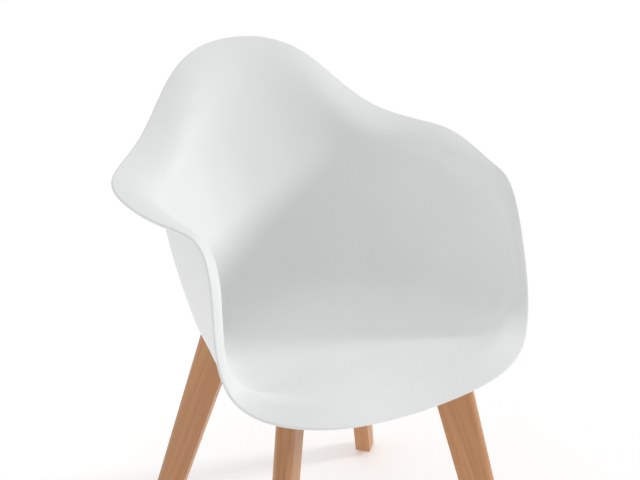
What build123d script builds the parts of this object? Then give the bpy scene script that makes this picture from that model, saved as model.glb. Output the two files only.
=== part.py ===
from build123d import *
import os
from math import sqrt

import numpy as np

# Bucket armchair: one moulded plastic shell on a cross frame with four splayed beech legs.
# Millimetres. X is the sitter's left-right, the front is -Y, +Z is up. The feet stand on Z = 0
# and the origin is the middle of the footprint of the whole chair.

# ---- overall sizes -------------------------------------------------------------------------
SHELL_WIDTH = 564.0        # across the arms at their widest
SHELL_DEPTH = 555.0        # front lip to the top of the back
SHELL_RISE = 384.0         # front lip to the top of the back, upwards
LIP_HEIGHT = 436.0         # floor to the front lip
SHELL_WALL = 4.5           # moulded wall, the same everywhere

# ---- shell to frame ------------------------------------------------------------------------
FRAME_Y = -18.0            # the cross frame's centre
BOSS_REACH = 55.0          # frame centre to each moulded boss
BOSS_DIAMETER = 24.0
BOSS_DROP = 15.0           # front lip down to the underside of the bosses
FIN_REACH = 22.0           # moulded fins round each boss, from its centre
FIN_WALL = 2.5
FIN_SETBACK = 4.0          # the fins stop this far above the boss's face
PAD_THICKNESS = 3.0
PAD_DIAMETER = 28.0
PLATE_THICKNESS = 3.0
PLATE_MARGIN = 32.0        # plate outside the boss centres, to its unrounded corners
PLATE_CORNER = 26.0
SCREW_DIAMETER = 6.0       # shell screws
SCREW_HEAD = 12.0
SCREW_HEAD_HEIGHT = 3.6
HEX_SOCKET = 4.0           # across the flats of the driver's socket
HOLE_CLEARANCE = 0.6       # on the diameter of every clearance hole
THREAD_CLEARANCE = 0.1     # on the diameter where a thread bites
INSERT_DIAMETER = 9.0
INSERT_LENGTH = 12.0
SCREW_BITE = 8.0           # shell screw's thread inside its insert
WASHER_DIAMETER = 18.0
WASHER_THICKNESS = 1.6

# ---- cross frame ---------------------------------------------------------------------------
RAIL_HEIGHT = 48.0
RAIL_THICKNESS = 26.0
RAIL_EDGE = 2.0            # softened long edges
PLATE_SCREW_REACHES = (24.0, 46.0)
PLATE_SCREW_DIAMETER = 4.5
PLATE_SCREW_HEAD = 9.0
PLATE_SCREW_HEAD_HEIGHT = 2.4
PLATE_SCREW_LENGTH = 25.0

# ---- legs, reaches measured along the diagonal from the frame's centre ---------------------
LEG_THICKNESS = 28.0
LEG_TOP_WIDTH = 62.0
LEG_FOOT_WIDTH = 46.0
FRONT_LEG_TOP = 216.0      # outer edge at the top of the leg
FRONT_LEG_FOOT = 330.0     # outer edge at the floor
REAR_LEG_TOP = 200.0
REAR_LEG_FOOT = 334.0
NOSE_FLAT = 3.0            # flat left between the two roundings of the outer edge
LEG_CHAMFER = 1.5          # the other edges

# ---- leg joint -----------------------------------------------------------------------------
DOWEL_DIAMETER = 10.0
DOWEL_EDGE = 13.0          # dowel's centre to the rail's top or bottom
DOWEL_IN_LEG = 26.0
DOWEL_IN_RAIL = 30.0
DRILL_SPARE = 2.0          # holes run on past dowels, screws and nails

# ---- glides --------------------------------------------------------------------------------
GLIDE_THICKNESS = 5.0
GLIDE_DIAMETER = 24.0
GLIDE_CHAMFER = 1.2
NAIL_DIAMETER = 2.6
NAIL_HEAD = 6.0
NAIL_HEAD_HEIGHT = 1.0
NAIL_LENGTH = 18.0
NAIL_RECESS = 2.0

BOSS_FACE = LIP_HEIGHT - BOSS_DROP
PLATE_TOP = BOSS_FACE - PAD_THICKNESS
RAIL_TOP = PLATE_TOP - PLATE_THICKNESS
RAIL_BOTTOM = RAIL_TOP - RAIL_HEIGHT
BORE = SCREW_DIAMETER + HOLE_CLEARANCE
BOSS_ANGLES = (0, 90, 180, 270)
RAIL_ANGLES = {"lower": 45, "upper": 135}
LEG_ANGLES = {"front_left": 225, "front_right": 315, "rear_left": 135, "rear_right": 45}
DOWEL_HEIGHTS = (RAIL_TOP - DOWEL_EDGE, RAIL_BOTTOM + DOWEL_EDGE)
ON_BOTTOM = (Align.CENTER, Align.CENTER, Align.MIN)

# ---- the shell's ribs ----------------------------------------------------------------------
# Half the shell, from the front lip's middle round the right side to the top of the back.
# Each rib: a point of the rim, the foot where the seat's plane meets the wall's slope, the
# flange, which is the last step from the rim back to the wall, and how far each way from the
# foot the bend between seat and wall reaches. X is measured from the middle, Y from the middle
# of the depth, Z from the front lip. They are drawn for a shell of RIB_SIZE and stretched.
RIB_SIZE = (600, 590, 408)
RIBS = [
    # rim               foot              flange            bend
    ((0, -295, 0),      (0, -205, 21),    (0, 36, 19),      50),
    ((78, -294, 4),     (68, -203, 22),   (-4, 36, 19),     50),
    ((146, -286, 12),   (124, -196, 22),  (-10, 34, 17),    50),
    ((197, -264, 19),   (160, -185, 19),  (-20, 28, 14),    50),
    ((232, -236, 29),   (183, -172, 14),  (-26, 20, 9),     52),
    ((253, -213, 49),   (197, -160, 9),   (-27, 13, 2),     54),
    ((262, -197, 82),   (204, -150, 6),   (-21, 7, -5),     56),
    ((263, -184, 126),  (209, -140, 3),   (-20, 5, -6),     58),
    ((259, -172, 175),  (210, -126, 1),   (-22, 6, -8),     60),
    ((256, -156, 218),  (210, -110, 0),   (-26, 7, -14),    62),
    ((257, -132, 245),  (210, -92, -1),   (-32, 7, -16),    64),
    ((265, -97, 252),   (206, -70, -2),   (-44, 2, -11),    66),
    ((281, -46, 252),   (200, -42, -3),   (-58, -2, -9),    70),
    ((297, 22, 256),    (191, -8, -3),    (-67, -12, -9),   76),
    ((296, 92, 263),    (171, 14, -2),    (-66, -32, -13),  84),
    ((264, 152, 269),   (146, 36, -1),    (-56, -38, -19),  92),
    ((214, 197, 290),   (117, 53, 0),     (-42, -37, -24),  100),
    ((165, 237, 333),   (88, 67, 0),      (-27, -36, -28),  106),
    ((115, 268, 378),   (59, 78, 0),      (-14, -34, -34),  110),
    ((59, 288, 402),    (30, 85, 0),      (-6, -32, -38),   112),
    ((0, 295, 408),     (0, 88, 0),       (0, -31, -40),    112),
]
RIB_HUB = (0, -110, 9)     # the point of the seat that every rib starts from
SEAT_STEP = 0.30           # first control point along the seat, as a part of hub to foot
WALL_STEP = 0.84           # second control point up the wall, as a part of foot to flange
WALL_BOW = 21.0            # how far the side walls stand out from a straight line, low down
HALF_RIBS = 41             # ribs lofted on each side
RIB_POINTS = 15            # points along each rib
RIM_CROWDING = 1.3         # above 1 gathers the points of a rib near the rim


def rib_controls():
    """Control points of every rib of the whole shell, an array of ribs x points x XYZ."""
    size = np.array([SHELL_WIDTH, SHELL_DEPTH, SHELL_RISE]) / RIB_SIZE
    hub = np.array(RIB_HUB, float)
    half = []
    for rim, foot, flange, bend in RIBS:
        rim, foot = np.array(rim, float), np.array(foot, float)
        root = rim + flange
        seat, wall = foot - hub, root - foot
        first = hub + seat * np.array([SEAT_STEP, SEAT_STEP, SEAT_STEP**3])
        before = 1 - bend / np.linalg.norm(seat)
        second = hub + seat * np.array([before, before, before**2])
        outwards = np.array([*seat[:2], 0]) / np.hypot(*seat[:2])
        bow = WALL_BOW * outwards[0] * outwards * (rim[2] > foot[2] + 40)
        low = foot + wall * min(bend / np.linalg.norm(wall), WALL_STEP / 2) + bow
        high = foot + wall * WALL_STEP + bow
        half.append([hub, first, second, foot, low, high, root, rim])
    half = np.array(half) * size + np.array([0, 0, LIP_HEIGHT])
    other_half = half[-2:0:-1] * np.array([-1, 1, 1])
    return np.concatenate([half, other_half])


def ring_spline(points, knots):
    """Closed smooth curve through the points, as a function of the place along the knots."""
    edge = Edge.make_spline([Vector(*p) for p in points], periodic=True, parameters=knots)
    return lambda u: tuple(edge.position_at(u, PositionMode.PARAMETER))


def rib_weights(count, steps):
    """Cubic B-spline weights of the control points at each step along a rib."""
    knots = np.concatenate([[0] * 3, np.linspace(0, 1, count - 2), [1] * 3])
    steps = np.minimum(steps, 1 - 1e-12)
    weights = [(knots[i] <= steps) & (steps < knots[i + 1]) for i in range(len(knots) - 1)]
    weights = np.array(weights, float)
    for degree in (1, 2, 3):
        raised = np.zeros((len(weights) - 1, len(steps)))
        for i in range(len(raised)):
            before, after = knots[i + degree] - knots[i], knots[i + degree + 1] - knots[i + 1]
            if before > 0:
                raised[i] += (steps - knots[i]) / before * weights[i]
            if after > 0:
                raised[i] += (knots[i + degree + 1] - steps) / after * weights[i + 1]
        weights = raised
    return weights.T


def shell_grid():
    """Points and outward normals of the shell's inner face, ribs by points, right half."""
    controls = rib_controls()
    rim = controls[:, -1]
    gaps = np.linalg.norm(np.roll(rim, -1, axis=0) - rim, axis=1)
    knots = np.concatenate([[0], np.cumsum(gaps)]) / gaps.sum()
    rings = [ring_spline(controls[:, k], list(knots)) for k in range(1, controls.shape[1])]
    places = np.linspace(0, 1, 2 * HALF_RIBS - 1)
    steps = 1 - (1 - np.linspace(0, 1, RIB_POINTS)) ** RIM_CROWDING
    hub = tuple(controls[0, 0])
    ribs = np.array([[hub] + [ring(u) for ring in rings] for u in places])
    points = np.einsum("sk,rkx->rsx", rib_weights(controls.shape[1], steps), ribs)
    along_ring, along_rib = np.gradient(points, axis=0), np.gradient(points, axis=1)
    along_ring[0] = along_ring[-1] = points[1] - points[-2]
    normals = np.cross(along_ring, along_rib)
    normals[:, 0] = (0, 0, -1)
    normals[[0, HALF_RIBS - 1], :, 0] = 0
    normals /= np.linalg.norm(normals, axis=2, keepdims=True)
    return points[:HALF_RIBS], normals[:HALF_RIBS], steps


def shell_skin():
    """The thin shell: each rib is an inner curve, a round lip and an outer curve, lofted."""
    points, normals, steps = shell_grid()
    points[[0, -1], :, 0] = 0
    sections = []
    for inner, normal in zip(points, normals):
        outer = inner + SHELL_WALL * normal
        end = inner[-1] - inner[-2]
        end -= normal[-1] * end.dot(normal[-1])
        lip = (inner[-1] + outer[-1]) / 2 + end / np.linalg.norm(end) * SHELL_WALL / 2
        inner_curve = Edge.make_spline([Vector(*p) for p in inner], parameters=list(steps))
        lip_arc = Edge.make_three_point_arc(Vector(*inner[-1]), Vector(*lip), Vector(*outer[-1]))
        back = [Vector(*p) for p in outer[::-1]]
        outer_curve = Edge.make_spline(back, parameters=list(1 - steps[::-1]))
        sections.append(Wire([inner_curve, lip_arc, outer_curve]))
    right = Shell.make_loft(sections).faces()
    left = [face.mirror(Plane.YZ) for face in right]
    return Solid(Shell([*right, *left]))


def frame_place(angle, reach=0.0):
    """A place on the frame: local X runs outwards from the frame's centre."""
    return Pos(0, FRAME_Y, 0) * Rot(Z=angle) * Pos(reach, 0, 0)


def around(angles, reach, piece):
    """One copy of an upright piece at each direction."""
    return [frame_place(angle, reach) * piece for angle in angles]


def post(diameter, bottom, top):
    """Upright cylinder between two heights."""
    return Pos(0, 0, bottom) * Cylinder(diameter / 2, top - bottom, align=ON_BOTTOM)


def rod(diameter, start, end, z):
    """Level cylinder along the local X, between two reaches."""
    place = Plane(origin=(start, 0, z), x_dir=(0, 1, 0), z_dir=(1, 0, 0))
    return place * Cylinder(diameter / 2, end - start, align=ON_BOTTOM)


def leg_edges(name, z):
    """Reaches of a leg's inner and outer edges at a height."""
    down = (RAIL_TOP - z) / RAIL_TOP
    top, foot = (FRONT_LEG_TOP, FRONT_LEG_FOOT) if "front" in name else (REAR_LEG_TOP, REAR_LEG_FOOT)
    outer = top + (foot - top) * down
    width = LEG_TOP_WIDTH + (LEG_FOOT_WIDTH - LEG_TOP_WIDTH) * down
    return outer - width, outer


def seat_middle(skin, angle):
    """Height of the middle of the seat's wall over a boss."""
    centre = frame_place(angle, BOSS_REACH).position
    hits = skin.find_intersection_points(Axis((centre.X, centre.Y, 0), (0, 0, 1)))
    heights = [point.Z for point, _ in hits]
    return (min(heights) + max(heights)) / 2


def seat_shell():
    skin = shell_skin()
    shell = skin
    for angle in BOSS_ANGLES:
        top = seat_middle(skin, angle)
        fin_bottom = BOSS_FACE + FIN_SETBACK
        fin = Box(2 * FIN_REACH, FIN_WALL, top - fin_bottom, align=ON_BOTTOM)
        boss = post(BOSS_DIAMETER, BOSS_FACE, top)
        for turn in (0, 90):
            boss += Pos(0, 0, fin_bottom) * Rot(Z=turn) * fin
        shell += frame_place(angle, BOSS_REACH) * boss
    for pocket in around(BOSS_ANGLES, BOSS_REACH, post(INSERT_DIAMETER, *insert_span())):
        shell -= pocket
    return shell


def insert_span():
    return BOSS_FACE, BOSS_FACE + INSERT_LENGTH


def shell_inserts():
    thread = SCREW_DIAMETER + THREAD_CLEARANCE
    sleeve = post(INSERT_DIAMETER, *insert_span()) - post(thread, *insert_span())
    return around(BOSS_ANGLES, BOSS_REACH, sleeve)


def isolating_pads():
    pad = post(PAD_DIAMETER, PLATE_TOP, BOSS_FACE) - post(BORE, PLATE_TOP, BOSS_FACE)
    return around(BOSS_ANGLES, BOSS_REACH, pad)


def mounting_plate():
    side = (BOSS_REACH + PLATE_MARGIN) * sqrt(2)
    outline = Rectangle(side, side)
    outline = fillet(outline.vertices(), PLATE_CORNER)
    plate = Pos(0, FRAME_Y, RAIL_TOP) * Rot(Z=45) * extrude(outline, PLATE_THICKNESS)
    for hole in around(BOSS_ANGLES, BOSS_REACH, post(BORE, RAIL_TOP, PLATE_TOP)):
        plate -= hole
    for place in plate_screw_places():
        plate -= place * plate_screw(HOLE_CLEARANCE)
    return plate


def shell_screws():
    seat = RAIL_TOP - WASHER_THICKNESS
    head = post(SCREW_HEAD, seat - SCREW_HEAD_HEIGHT, seat)
    head = fillet(head.faces().sort_by(Axis.Z)[0].edges(), SCREW_HEAD_HEIGHT / 2)
    head -= Pos(0, 0, seat - SCREW_HEAD_HEIGHT) * hex_socket()
    screw = head + post(SCREW_DIAMETER, seat, BOSS_FACE + SCREW_BITE)
    return around(BOSS_ANGLES, BOSS_REACH, screw)


def hex_socket():
    """Driver's socket, cut upwards from the face of a head."""
    return extrude(RegularPolygon(HEX_SOCKET / sqrt(3), 6), SCREW_HEAD_HEIGHT / 2)


def shell_washers():
    seat = RAIL_TOP - WASHER_THICKNESS
    washer = post(WASHER_DIAMETER, seat, RAIL_TOP) - post(BORE, seat, RAIL_TOP)
    return around(BOSS_ANGLES, BOSS_REACH, washer)


def plate_screw_places():
    return [frame_place(angle, reach) for angle in LEG_ANGLES.values() for reach in PLATE_SCREW_REACHES]


def plate_screw(clearance=0.0):
    """Countersunk wood screw, its head flush with the plate's top."""
    neck = PLATE_TOP - PLATE_SCREW_HEAD_HEIGHT
    shank = post(PLATE_SCREW_DIAMETER + clearance, PLATE_TOP - PLATE_SCREW_LENGTH, neck)
    head = Cone(
        (PLATE_SCREW_DIAMETER + clearance) / 2,
        (PLATE_SCREW_HEAD + clearance) / 2,
        PLATE_SCREW_HEAD_HEIGHT,
        align=ON_BOTTOM,
    )
    return shank + Pos(0, 0, neck) * head


def plate_screws():
    return [place * plate_screw() for place in plate_screw_places()]


def cross_rail(name):
    """One beech rail, half-lapped over or under the other, drilled for its two legs."""
    angle = RAIL_ANGLES[name]
    rear, front = (leg for leg, turn in LEG_ANGLES.items() if turn in (angle, angle + 180))
    if "front" in rear:
        rear, front = front, rear
    corners = [
        (leg_edges(rear, RAIL_TOP)[0], RAIL_TOP),
        (-leg_edges(front, RAIL_TOP)[0], RAIL_TOP),
        (-leg_edges(front, RAIL_BOTTOM)[0], RAIL_BOTTOM),
        (leg_edges(rear, RAIL_BOTTOM)[0], RAIL_BOTTOM),
    ]
    rail = extrude(Plane.XZ * Polygon(*corners, align=None), RAIL_THICKNESS / 2, both=True)
    rail = fillet(rail.edges().filter_by(Axis.X), RAIL_EDGE)
    lap_bottom = RAIL_TOP - RAIL_HEIGHT / 2 if name == "lower" else RAIL_BOTTOM
    rail -= Pos(0, 0, lap_bottom) * Box(RAIL_THICKNESS, RAIL_THICKNESS, RAIL_HEIGHT / 2, align=ON_BOTTOM)
    for leg_name, turn in ((rear, 0), (front, 180)):
        for z in DOWEL_HEIGHTS:
            end = leg_edges(leg_name, z)[0]
            hole = rod(DOWEL_DIAMETER, end - DOWEL_IN_RAIL - DRILL_SPARE, end + RAIL_HEIGHT, z)
            rail -= Rot(Z=turn) * hole
    thread = PLATE_SCREW_DIAMETER + THREAD_CLEARANCE
    for reach in PLATE_SCREW_REACHES:
        for side in (-reach, reach):
            rail -= Pos(side, 0, 0) * post(thread, PLATE_TOP - PLATE_SCREW_LENGTH - DRILL_SPARE, RAIL_TOP)
    return frame_place(angle) * rail


def leg(name):
    """One beech leg: flat faces, a rounded outer edge, tapering to the floor."""
    top, bottom = leg_edges(name, RAIL_TOP), leg_edges(name, GLIDE_THICKNESS)
    corners = [
        (top[0], RAIL_TOP), (top[1], RAIL_TOP), (bottom[1], GLIDE_THICKNESS), (bottom[0], GLIDE_THICKNESS)
    ]
    blank = extrude(Plane.XZ * Polygon(*corners, align=None), LEG_THICKNESS / 2, both=True)
    outer_face = max(blank.faces().filter_by(Axis.Z, reverse=True), key=lambda face: face.center().X)
    sides = [edge for edge in outer_face.edges() if abs(edge.center().Y) > LEG_THICKNESS / 4]
    blank = fillet(sides, (LEG_THICKNESS - NOSE_FLAT) / 2)
    inner_face = blank.faces().sort_by(Axis.X)[0]
    ends = blank.faces().filter_by(Axis.Z)
    blank = chamfer(list({edge for face in (inner_face, *ends) for edge in face.edges()}), LEG_CHAMFER)
    for z in DOWEL_HEIGHTS:
        inner = leg_edges(name, z)[0]
        blank -= rod(DOWEL_DIAMETER, inner - RAIL_HEIGHT, inner + DOWEL_IN_LEG + DRILL_SPARE, z)
    nail_top = NAIL_RECESS + NAIL_LENGTH + DRILL_SPARE
    blank -= Pos(foot_reach(name), 0, 0) * post(NAIL_DIAMETER + THREAD_CLEARANCE, 0, nail_top)
    return frame_place(LEG_ANGLES[name]) * blank


def foot_reach(name):
    return sum(leg_edges(name, 0)) / 2


def leg_dowels():
    """Glued dowels that hold each leg to its rail, one above the other."""
    dowels = []
    for name, angle in LEG_ANGLES.items():
        for z in DOWEL_HEIGHTS:
            inner = leg_edges(name, z)[0]
            dowel = rod(DOWEL_DIAMETER, inner - DOWEL_IN_RAIL, inner + DOWEL_IN_LEG, z)
            dowels.append(frame_place(angle) * chamfer(dowel.edges().filter_by(GeomType.CIRCLE), 1))
    return dowels


def glide(name):
    """Nylon pad under a foot, its nail's head sunk clear of the floor."""
    pad = post(GLIDE_DIAMETER, 0, GLIDE_THICKNESS)
    pad = chamfer(pad.faces().sort_by(Axis.Z)[0].edges(), GLIDE_CHAMFER)
    pad -= post(NAIL_HEAD + HOLE_CLEARANCE, 0, NAIL_RECESS + NAIL_HEAD_HEIGHT)
    pad -= post(NAIL_DIAMETER + THREAD_CLEARANCE, 0, GLIDE_THICKNESS)
    return frame_place(LEG_ANGLES[name], foot_reach(name)) * pad


def glide_nails():
    nail = post(NAIL_HEAD, NAIL_RECESS, NAIL_RECESS + NAIL_HEAD_HEIGHT)
    nail += post(NAIL_DIAMETER, NAIL_RECESS, NAIL_RECESS + NAIL_LENGTH)
    return [frame_place(angle, foot_reach(name)) * nail for name, angle in LEG_ANGLES.items()]


def chair():
    """Every piece by name; a list holds the separate solids of identical small parts."""
    pieces = {
        "seat_shell": seat_shell(),
        "shell_inserts": shell_inserts(),
        "isolating_pads": isolating_pads(),
        "mounting_plate": mounting_plate(),
        "shell_screws": shell_screws(),
        "shell_washers": shell_washers(),
        "plate_screws": plate_screws(),
        "leg_dowels": leg_dowels(),
        "glide_nails": glide_nails(),
    }
    for name in RAIL_ANGLES:
        pieces[f"cross_rail_{name}"] = cross_rail(name)
    for name in LEG_ANGLES:
        pieces[f"leg_{name}"] = leg(name)
        pieces[f"glide_{name}"] = glide(name)
    return pieces


os.makedirs("parts", exist_ok=True)
for node, piece in chair().items():
    solids = piece if isinstance(piece, list) else [piece]
    solids = [solid for part in solids for solid in part.solids()]
    export_step(Compound(label=node, children=solids), f"parts/{node}.step")
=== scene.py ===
from math import radians

import bpy
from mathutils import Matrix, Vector


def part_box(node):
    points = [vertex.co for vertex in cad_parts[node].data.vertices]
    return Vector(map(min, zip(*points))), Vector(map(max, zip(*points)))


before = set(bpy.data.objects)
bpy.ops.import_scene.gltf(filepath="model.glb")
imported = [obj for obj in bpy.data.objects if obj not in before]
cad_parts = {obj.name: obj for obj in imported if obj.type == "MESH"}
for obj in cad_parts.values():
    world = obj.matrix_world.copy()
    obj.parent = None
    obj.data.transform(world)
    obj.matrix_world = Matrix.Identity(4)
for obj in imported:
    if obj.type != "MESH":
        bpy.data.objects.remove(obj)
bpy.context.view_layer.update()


# ---------------------------------------------------------------- material building blocks
class Shader:
    """A material under construction: its node tree, its Principled shader and its output."""

    def __init__(self, name):
        self.material = bpy.data.materials.new(name)
        self.material.use_nodes = True
        self.tree = self.material.node_tree
        self.bsdf = self.tree.nodes["Principled BSDF"]

    def node(self, kind, inputs=None, **settings):
        """Adds a node. An input is given by name or number, as a value or as a socket to link."""
        made = self.tree.nodes.new("ShaderNode" + kind)
        for setting, value in settings.items():
            setattr(made, setting, value)
        for key, value in (inputs or {}).items():
            self.feed(made.inputs[key], value)
        return made

    def feed(self, socket, value):
        if isinstance(value, bpy.types.NodeSocket):
            self.tree.links.new(value, socket)
        else:
            socket.default_value = value

    def set(self, **values):
        """Sets sockets of the Principled shader; an underscore stands for a space."""
        for name, value in values.items():
            self.feed(self.bsdf.inputs[name.replace("_", " ")], value)

    def place(self, rotation=(0, 0, 0), scale=(1, 1, 1)):
        """Object coordinates, turned and then scaled."""
        coordinates = self.node("TexCoord").outputs["Object"]
        turned = self.node("Mapping", {"Vector": coordinates, "Rotation": rotation})
        sized = self.node("Mapping", {"Vector": turned.outputs[0], "Scale": scale})
        return sized.outputs[0]

    def noise(self, vector, scale, detail=2.0, roughness=0.5, distortion=0.0):
        made = self.node("TexNoise", {
            "Vector": vector, "Scale": scale, "Detail": detail,
            "Roughness": roughness, "Distortion": distortion,
        })
        return made.outputs["Fac"]

    def remap(self, value, low, high, to_low=0.0, to_high=1.0):
        made = self.node("MapRange", {
            "Value": value, "From Min": low, "From Max": high, "To Min": to_low, "To Max": to_high,
        })
        return made.outputs["Result"]

    def math(self, operation, first, second=0.0):
        return self.node("Math", {0: first, 1: second}, operation=operation).outputs[0]

    def mix(self, factor, first, second):
        made = self.node("Mix", data_type="RGBA")
        self.feed(made.inputs["Factor"], factor)
        self.feed(made.inputs["A"], first)
        self.feed(made.inputs["B"], second)
        return made.outputs["Result"]

    def bump(self, height, distance, strength=1.0, below=None):
        inputs = {"Height": height, "Distance": distance, "Strength": strength}
        if below is not None:
            inputs["Normal"] = below
        return self.node("Bump", inputs).outputs[0]


def rgb(red, green, blue):
    return (red, green, blue, 1.0)


# ---------------------------------------------------------------- materials
def white_plastic():
    """Satin polypropylene with the fine spark-eroded texture of its mould."""
    s = Shader("white_plastic")
    where = s.place()
    cloud = s.noise(where, 7.0, detail=3.0)
    tone = s.mix(s.remap(cloud, 0.35, 0.65), rgb(0.860, 0.870, 0.870), rgb(0.880, 0.888, 0.888))
    grain = s.noise(where, 1400.0, detail=2.0, roughness=0.6)
    patch = s.noise(where, 28.0, detail=4.0)
    rough = s.remap(patch, 0.3, 0.7, 0.50, 0.58)
    s.set(Base_Color=tone, Roughness=rough, Normal=s.bump(grain, 0.00006, 0.5))
    s.set(IOR=1.49)
    return s.material


def beech(name, axis, shade=1.0, seed=0.0):
    """Lacquered beech with its grain along the given direction."""
    s = Shader(name)
    turn = axis.normalized().rotation_difference(Vector((0, 0, 1))).to_euler()
    along = s.place(rotation=turn)
    shifted = s.node("Mapping", {"Vector": along, "Location": (seed, seed * 0.7, seed * 0.4)})
    where = shifted.outputs[0]

    def stretched(across, lengthwise):
        return s.node("Mapping", {"Vector": where, "Scale": (across, across, lengthwise)}).outputs[0]

    rings = s.noise(stretched(1.0, 0.02), 150.0, detail=3.0, roughness=0.55, distortion=0.25)
    broad = s.noise(stretched(1.0, 0.05), 26.0, detail=2.0)
    fibres = s.noise(stretched(1.0, 0.015), 1000.0, detail=3.0, roughness=0.65)
    flecks = s.node("TexVoronoi", {"Vector": stretched(1.0, 0.22), "Scale": 1100.0, "Randomness": 1.0})
    fleck = s.remap(flecks.outputs["Distance"], 0.12, 0.30, 1.0, 0.0)
    chosen = s.remap(s.noise(stretched(1.0, 0.3), 420.0), 0.52, 0.60)
    fleck = s.math("MULTIPLY", fleck, chosen)

    # shade scales every tone; for the legs it carries painted light (the right legs lighter, as if lit
    # by the key) besides board tone
    light = rgb(0.580 * shade, 0.300 * shade, 0.132 * shade)
    dark = rgb(0.455 * shade, 0.202 * shade, 0.080 * shade)
    warm = rgb(0.500 * shade, 0.232 * shade, 0.100 * shade)
    tone = s.mix(s.remap(rings, 0.34, 0.66), light, dark)
    tone = s.mix(s.remap(broad, 0.3, 0.7, 0.0, 0.6), tone, warm)
    tone = s.mix(s.remap(fibres, 0.45, 0.75, 0.0, 0.35), tone, dark)
    tone = s.mix(s.math("MULTIPLY", fleck, 0.45), tone, rgb(0.27 * shade, 0.115 * shade, 0.055 * shade))
    rough = s.remap(fibres, 0.3, 0.7, 0.40, 0.54)
    relief = s.math("ADD", fibres, s.math("MULTIPLY", fleck, -0.6))
    s.set(Base_Color=tone, Roughness=rough, Normal=s.bump(relief, 0.00010, 0.35))
    s.set(Coat_Weight=0.12, Coat_Roughness=0.35)
    return s.material


def plated_steel():
    s = Shader("zinc_steel")
    where = s.place()
    blotch = s.noise(where, 160.0, detail=3.0)
    tone = s.mix(s.remap(blotch, 0.35, 0.65), rgb(0.60, 0.60, 0.58), rgb(0.70, 0.69, 0.64))
    s.set(Base_Color=tone, Roughness=s.remap(blotch, 0.3, 0.7, 0.26, 0.42))
    s.set(Normal=s.bump(s.noise(where, 2200.0), 0.00003, 0.4), Metallic=1.0)
    return s.material


def black_steel():
    """Black powder coat with a fine orange peel."""
    s = Shader("black_steel")
    where = s.place()
    peel = s.noise(where, 900.0, detail=1.0)
    cloud = s.remap(s.noise(where, 60.0), 0.4, 0.6)
    tone = s.mix(cloud, rgb(0.018, 0.018, 0.019), rgb(0.030, 0.030, 0.031))
    s.set(Base_Color=tone, Roughness=s.remap(peel, 0.3, 0.7, 0.42, 0.56))
    s.set(Normal=s.bump(peel, 0.00008, 0.5))
    return s.material


def turned_brass():
    s = Shader("brass")
    where = s.place()
    lines = s.noise(s.node("Mapping", {"Vector": where, "Scale": (1, 1, 40)}).outputs[0], 120.0)
    tone = s.mix(s.remap(lines, 0.35, 0.65), rgb(0.62, 0.43, 0.17), rgb(0.74, 0.55, 0.26))
    s.set(Base_Color=tone, Roughness=s.remap(lines, 0.3, 0.7, 0.25, 0.38), Metallic=1.0)
    return s.material


def black_rubber():
    s = Shader("rubber")
    where = s.place()
    skin = s.noise(where, 1300.0, detail=3.0)
    cloud = s.remap(s.noise(where, 90.0), 0.4, 0.6)
    tone = s.mix(cloud, rgb(0.020, 0.020, 0.020), rgb(0.042, 0.041, 0.040))
    s.set(Base_Color=tone, Roughness=s.remap(skin, 0.3, 0.7, 0.70, 0.85))
    s.set(Normal=s.bump(skin, 0.00008, 0.5))
    return s.material


def brown_nylon():
    s = Shader("nylon")
    where = s.place()
    scuff = s.noise(where, 300.0, detail=4.0, roughness=0.7)
    tone = s.mix(s.remap(scuff, 0.45, 0.7), rgb(0.085, 0.060, 0.045), rgb(0.150, 0.120, 0.100))
    s.set(Base_Color=tone, Roughness=s.remap(scuff, 0.3, 0.7, 0.42, 0.62))
    s.set(Normal=s.bump(scuff, 0.00006, 0.4))
    return s.material


# How light each leg's board is, against the base tones of the wood: the right legs are painted lighter,
# as painted light standing in for the key light from the right, and the small spread on each side is
# board tone
LEG_SHADES_WITH_PAINTED_LIGHT = {"front_left": 0.96, "front_right": 1.13, "rear_left": 1.02, "rear_right": 1.15}
RAIL_SHADE = 0.95
DOWEL_SHADE = 1.05
LEG_SPLAY = 0.74           # how far a leg's middle line runs outwards, as a part of its box
RAIL_AXES = {"lower": Vector((1, 1, 0)), "upper": Vector((-1, 1, 0))}
RAIL_SEEDS = {"lower": 9.1, "upper": 11.4}


def paint(node, material):
    """Gives a CAD node its finished material."""
    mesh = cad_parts[node].data
    mesh.materials.clear()
    mesh.materials.append(material)


def leg_axis(node):
    """Direction of the grain in a leg, from its top, beside the rail, down to the foot."""
    low, high = (Vector(corner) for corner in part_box(node))
    out_x = 1 if "right" in node else -1
    out_y = 1 if "rear" in node else -1
    run = (high.x - low.x) * LEG_SPLAY
    return Vector((out_x * run, out_y * run, low.z - high.z))


def dress():
    """Every CAD node keeps its shape and gets its own finish."""
    plated, nylon = plated_steel(), brown_nylon()
    paint("seat_shell", white_plastic())
    paint("shell_inserts", turned_brass())
    paint("isolating_pads", black_rubber())
    paint("mounting_plate", black_steel())
    for node in ("shell_screws", "shell_washers", "plate_screws", "glide_nails"):
        paint(node, plated)
    # the right legs get painted light: a lighter wood tone standing in for the key light from the right
    for count, (side, shade) in enumerate(LEG_SHADES_WITH_PAINTED_LIGHT.items()):
        wood = beech(f"beech_leg_{side}", leg_axis(f"leg_{side}"), shade, seed=1.7 * count + 0.3)
        paint(f"leg_{side}", wood)
        paint(f"glide_{side}", nylon)
    for rail, axis in RAIL_AXES.items():
        wood = beech(f"beech_rail_{rail}", axis, RAIL_SHADE, RAIL_SEEDS[rail])
        paint(f"cross_rail_{rail}", wood)
    paint("leg_dowels", beech("beech_dowels", RAIL_AXES["lower"], DOWEL_SHADE, seed=13.2))


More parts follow.
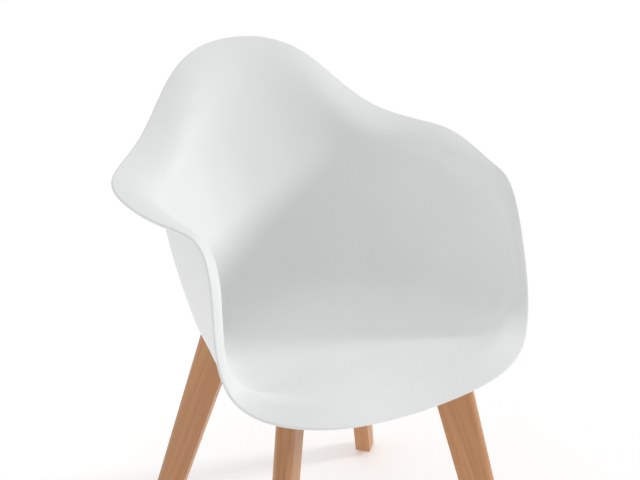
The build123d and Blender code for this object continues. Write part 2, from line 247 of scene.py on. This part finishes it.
# ---------------------------------------------------------------- stage
FLOOR_SIZE = 60.0
FLOOR_GAP = 0.0003         # keeps the floor clear of the glides' faces
FLOOR_GLOW = 0.22          # lifts the floor to a plain white
CAMERA_AZIMUTH = -29.6     # degrees from straight ahead; the camera stands to the chair's left
CAMERA_ELEVATION = 27.0
CAMERA_DISTANCE = 1.456
CAMERA_AIM = Vector((-0.0196, -0.0343, 0.4967))
CAMERA_LENS = 55.18        # for the default 36 mm sensor
CAMERA_RISE = 0.0922       # upward shift, in image widths
KEY_AZIMUTH = 70.0         # degrees from straight in front of the chair, towards its right arm
KEY_ELEVATION = 20.0
KEY_ENERGY = 1.28
KEY_WIDTH = 11.0           # degrees across, which sets how soft its shadow edges are
FRONT_WALL = 0.15          # brightness of the room, level: straight ahead of the chair,
SIDE_WALLS = 0.78          # to its sides,
BACK_WALL = 0.45           # behind it,
CEILING = 0.96             # and straight up or down
CEILING_SPREAD = 2.0       # above 1 keeps the ceiling's brightness nearer to straight up
KEY_SIDE_DIM = 0.72        # the wall that the key light comes from, against the one across


def floor():
    bpy.ops.mesh.primitive_plane_add(size=FLOOR_SIZE, location=(0, 0, -FLOOR_GAP))
    plane = bpy.context.object
    plane.name = "floor"
    s = Shader("floor")
    mottle = s.noise(s.place(), 3.0)
    s.set(Base_Color=s.mix(mottle, rgb(0.93, 0.93, 0.93), rgb(0.94, 0.94, 0.94)))
    s.set(Roughness=0.9, Specular_IOR_Level=0.1)
    s.set(Emission_Color=rgb(1, 1, 1), Emission_Strength=FLOOR_GLOW)
    plane.data.materials.append(s.material)


def camera():
    data = bpy.data.cameras.new("camera")
    data.lens = CAMERA_LENS
    data.shift_y = CAMERA_RISE
    data.clip_end = 200
    eye = bpy.data.objects.new("camera", data)
    bpy.context.collection.objects.link(eye)
    eye.rotation_euler = (radians(90 - CAMERA_ELEVATION), 0, radians(CAMERA_AZIMUTH))
    bpy.context.view_layer.update()
    ahead = eye.rotation_euler.to_matrix() @ Vector((0, 0, -1))
    eye.location = CAMERA_AIM - CAMERA_DISTANCE * ahead
    bpy.context.scene.camera = eye


def lights():
    """A low, soft key light from beyond the right arm, in a room that is brightest overhead."""
    data = bpy.data.lights.new("key", "SUN")
    data.energy = KEY_ENERGY
    data.angle = radians(KEY_WIDTH)
    key = bpy.data.objects.new("key", data)
    bpy.context.collection.objects.link(key)
    key.rotation_euler = (radians(90 - KEY_ELEVATION), 0, radians(KEY_AZIMUTH))

    world = bpy.data.worlds.new("studio")
    bpy.context.scene.world = world
    world.use_nodes = True
    tree = world.node_tree
    direction = tree.nodes.new("ShaderNodeTexCoord")
    split = tree.nodes.new("ShaderNodeSeparateXYZ")
    depth = tree.nodes.new("ShaderNodeMapRange")
    depth.inputs["From Min"].default_value = -1.0
    walls = tree.nodes.new("ShaderNodeValToRGB")
    stops = walls.color_ramp.elements
    stops.new(0.5)
    for stop, shade in zip(stops, (FRONT_WALL, SIDE_WALLS, BACK_WALL)):
        stop.color = (shade, shade, shade, 1.0)
    keyward = tree.nodes.new("ShaderNodeMapRange")
    keyward.inputs["To Min"].default_value = 1.0
    keyward.inputs["To Max"].default_value = KEY_SIDE_DIM
    strength = tree.nodes.new("ShaderNodeMath")
    strength.operation = "MULTIPLY"
    upwards = tree.nodes.new("ShaderNodeMath")
    upwards.operation = "POWER"
    upwards.inputs[1].default_value = CEILING_SPREAD
    room = tree.nodes.new("ShaderNodeMix")
    room.inputs["B"].default_value = CEILING
    tree.links.new(direction.outputs["Generated"], split.inputs[0])
    tree.links.new(split.outputs["Y"], depth.inputs["Value"])
    tree.links.new(depth.outputs["Result"], walls.inputs["Fac"])
    tree.links.new(split.outputs["Z"], upwards.inputs[0])
    tree.links.new(upwards.outputs[0], room.inputs["Factor"])
    tree.links.new(walls.outputs["Color"], room.inputs["A"])
    tree.links.new(split.outputs["X"], keyward.inputs["Value"])
    tree.links.new(room.outputs["Result"], strength.inputs[0])
    tree.links.new(keyward.outputs["Result"], strength.inputs[1])
    tree.links.new(strength.outputs[0], tree.nodes["Background"].inputs["Strength"])
    tree.nodes["Background"].inputs["Color"].default_value = (1, 1, 1, 1)
    bpy.context.scene.view_settings.view_transform = "Standard"


camera()
lights()
floor()
dress()
